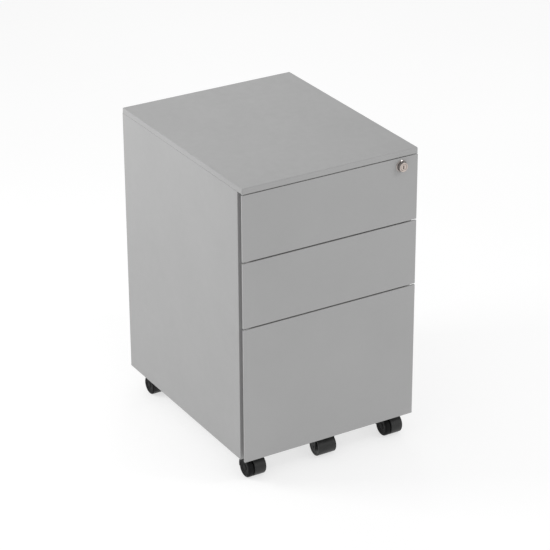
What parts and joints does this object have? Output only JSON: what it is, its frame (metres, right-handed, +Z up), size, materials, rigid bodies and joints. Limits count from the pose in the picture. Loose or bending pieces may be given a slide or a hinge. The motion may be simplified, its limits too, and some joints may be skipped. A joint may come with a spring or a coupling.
{
  "type": "rolling pedestal cabinet",
  "caption": "Steel under-desk cabinet on castors, with two stationery drawers over a deep filing drawer, side finger pulls, a central lock and an anti-tilt roller.",
  "frame": {"origin": "middle of the footprint on the floor, the lock's overhang included", "axes": "+Z up, the drawers open towards -Y, +X to the right as the user faces the drawers"},
  "size_m": [0.38, 0.475, 0.615],
  "materials": {
    "powder_coat": "fine-textured silver grey powder coat, semi-matt",
    "zinc": "bright zinc plated steel",
    "chrome": "polished chrome plate",
    "black_wheel": "moulded black nylon",
    "black_housing": "moulded black nylon, finely grained",
    "black_tray": "moulded black polystyrene, matt"
  },
  "bodies": {
    "cabinet": {"top_panel": "powder_coat", "left_side_panel": "powder_coat", "right_side_panel": "powder_coat", "back_panel": "powder_coat", "base_panel": "powder_coat", "front_top_rail": "powder_coat", "front_post_left": "zinc", "front_post_right": "zinc", "rear_post_left": "zinc", "rear_post_right": "zinc", "filing_drawer_slide_outer_left": "zinc", "filing_drawer_slide_outer_right": "zinc", "middle_drawer_slide_outer_left": "zinc", "middle_drawer_slide_outer_right": "zinc", "top_drawer_slide_outer_left": "zinc", "top_drawer_slide_outer_right": "zinc", "lock_barrel": "chrome", "lock_nut": "zinc", "castor_front_left_plate": "zinc", "castor_front_right_plate": "zinc", "castor_rear_left_plate": "zinc", "castor_rear_right_plate": "zinc"},
    "top_drawer": {"top_drawer_front": "powder_coat", "top_drawer_tray": "powder_coat", "top_drawer_slide_inner_left": "zinc", "top_drawer_slide_inner_right": "zinc", "pen_tray": "black_tray", "pen_tray_divider": "black_tray"},
    "middle_drawer": {"middle_drawer_front": "powder_coat", "middle_drawer_tray": "powder_coat", "middle_drawer_slide_inner_left": "zinc", "middle_drawer_slide_inner_right": "zinc"},
    "filing_drawer": {"filing_drawer_front": "powder_coat", "filing_drawer_tray": "powder_coat", "filing_drawer_slide_inner_left": "zinc", "filing_drawer_slide_inner_right": "zinc", "roller_bracket": "black_housing", "roller_axle": "zinc"},
    "filing_slide_middles": {"filing_drawer_slide_middle_left": "zinc", "filing_drawer_slide_middle_right": "zinc"},
    "anti_tilt_roller": {"roller_wheel": "black_wheel"},
    "plug": {"lock_plug": "chrome", "lock_cam": "zinc"},
    "bar": {"lock_bar": "zinc"},
    "castor_front_left_swivel": {"castor_front_left_housing": "black_housing", "castor_front_left_axle": "zinc"},
    "castor_front_left_narrow": {"castor_front_left_wheel_narrow": "black_wheel"},
    "castor_front_left_wide": {"castor_front_left_wheel_wide": "black_wheel"},
    "castor_front_right_swivel": {"castor_front_right_housing": "black_housing", "castor_front_right_axle": "zinc"},
    "castor_front_right_narrow": {"castor_front_right_wheel_narrow": "black_wheel"},
    "castor_front_right_wide": {"castor_front_right_wheel_wide": "black_wheel"},
    "castor_rear_left_swivel": {"castor_rear_left_housing": "black_housing", "castor_rear_left_axle": "zinc"},
    "castor_rear_left_narrow": {"castor_rear_left_wheel_narrow": "black_wheel"},
    "castor_rear_left_wide": {"castor_rear_left_wheel_wide": "black_wheel"},
    "castor_rear_right_swivel": {"castor_rear_right_housing": "black_housing", "castor_rear_right_axle": "zinc"},
    "castor_rear_right_narrow": {"castor_rear_right_wheel_narrow": "black_wheel"},
    "castor_rear_right_wide": {"castor_rear_right_wheel_wide": "black_wheel"}
  },
  "joints": [
    {"name": "top_drawer_slide", "type": "slide", "parent": "cabinet", "child": "top_drawer", "axis": [0, -1, 0], "range_m": [0, 0.3]},
    {"name": "middle_drawer_slide", "type": "slide", "parent": "cabinet", "child": "middle_drawer", "axis": [0, -1, 0], "range_m": [0, 0.3]},
    {"name": "filing_drawer_slide", "type": "slide", "parent": "cabinet", "child": "filing_drawer", "axis": [0, -1, 0], "range_m": [0, 0.4]},
    {"name": "filing_middles_slide", "type": "slide", "parent": "cabinet", "child": "filing_slide_middles", "axis": [0, -1, 0], "range_m": [0, 0.2]},
    {"name": "anti_tilt_roller_spin", "type": "hinge", "parent": "filing_drawer", "child": "anti_tilt_roller", "pos_m": [0.0013, -0.2008, 0.02], "axis": [1, 0, 0], "continuous": true},
    {"name": "lock_plug_turn", "type": "hinge", "parent": "cabinet", "child": "plug", "pos_m": [0.153, -0.22, 0.585], "axis": [0, 1, 0], "range_deg": [0, 90]},
    {"name": "lock_bar_slide", "type": "slide", "parent": "cabinet", "child": "bar", "axis": [0, 0, -1], "range_m": [0, 0.0127]},
    {"name": "castor_front_left_swivel_turn", "type": "hinge", "parent": "cabinet", "child": "castor_front_left_swivel", "pos_m": [-0.156, -0.1832, 0.045], "axis": [0, 0, 1], "continuous": true},
    {"name": "castor_front_left_narrow_spin", "type": "hinge", "parent": "castor_front_left_swivel", "child": "castor_front_left_narrow", "pos_m": [-0.1697, -0.2002, 0.02], "axis": [1, 0, 0], "continuous": true},
    {"name": "castor_front_left_wide_spin", "type": "hinge", "parent": "castor_front_left_swivel", "child": "castor_front_left_wide", "pos_m": [-0.1496, -0.2002, 0.02], "axis": [1, 0, 0], "continuous": true},
    {"name": "castor_front_right_swivel_turn", "type": "hinge", "parent": "cabinet", "child": "castor_front_right_swivel", "pos_m": [0.156, -0.1832, 0.045], "axis": [0, 0, 1], "continuous": true},
    {"name": "castor_front_right_narrow_spin", "type": "hinge", "parent": "castor_front_right_swivel", "child": "castor_front_right_narrow", "pos_m": [0.1423, -0.2002, 0.02], "axis": [1, 0, 0], "continuous": true},
    {"name": "castor_front_right_wide_spin", "type": "hinge", "parent": "castor_front_right_swivel", "child": "castor_front_right_wide", "pos_m": [0.1624, -0.2002, 0.02], "axis": [1, 0, 0], "continuous": true},
    {"name": "castor_rear_left_swivel_turn", "type": "hinge", "parent": "cabinet", "child": "castor_rear_left_swivel", "pos_m": [-0.156, 0.1715, 0.045], "axis": [0, 0, 1], "continuous": true},
    {"name": "castor_rear_left_narrow_spin", "type": "hinge", "parent": "castor_rear_left_swivel", "child": "castor_rear_left_narrow", "pos_m": [-0.1423, 0.1885, 0.02], "axis": [1, 0, 0], "continuous": true},
    {"name": "castor_rear_left_wide_spin", "type": "hinge", "parent": "castor_rear_left_swivel", "child": "castor_rear_left_wide", "pos_m": [-0.1624, 0.1885, 0.02], "axis": [1, 0, 0], "continuous": true},
    {"name": "castor_rear_right_swivel_turn", "type": "hinge", "parent": "cabinet", "child": "castor_rear_right_swivel", "pos_m": [0.156, 0.1715, 0.045], "axis": [0, 0, 1], "continuous": true},
    {"name": "castor_rear_right_narrow_spin", "type": "hinge", "parent": "castor_rear_right_swivel", "child": "castor_rear_right_narrow", "pos_m": [0.1697, 0.1885, 0.02], "axis": [1, 0, 0], "continuous": true},
    {"name": "castor_rear_right_wide_spin", "type": "hinge", "parent": "castor_rear_right_swivel", "child": "castor_rear_right_wide", "pos_m": [0.1496, 0.1885, 0.02], "axis": [1, 0, 0], "continuous": true}
  ],
  "couplings": [
    {"joint": "filing_middles_slide", "follows": "filing_drawer_slide", "ratio": 0.5},
    {"joint": "lock_plug_turn", "follows": "lock_bar_slide", "rad_per_m": 123.68}
  ]
}
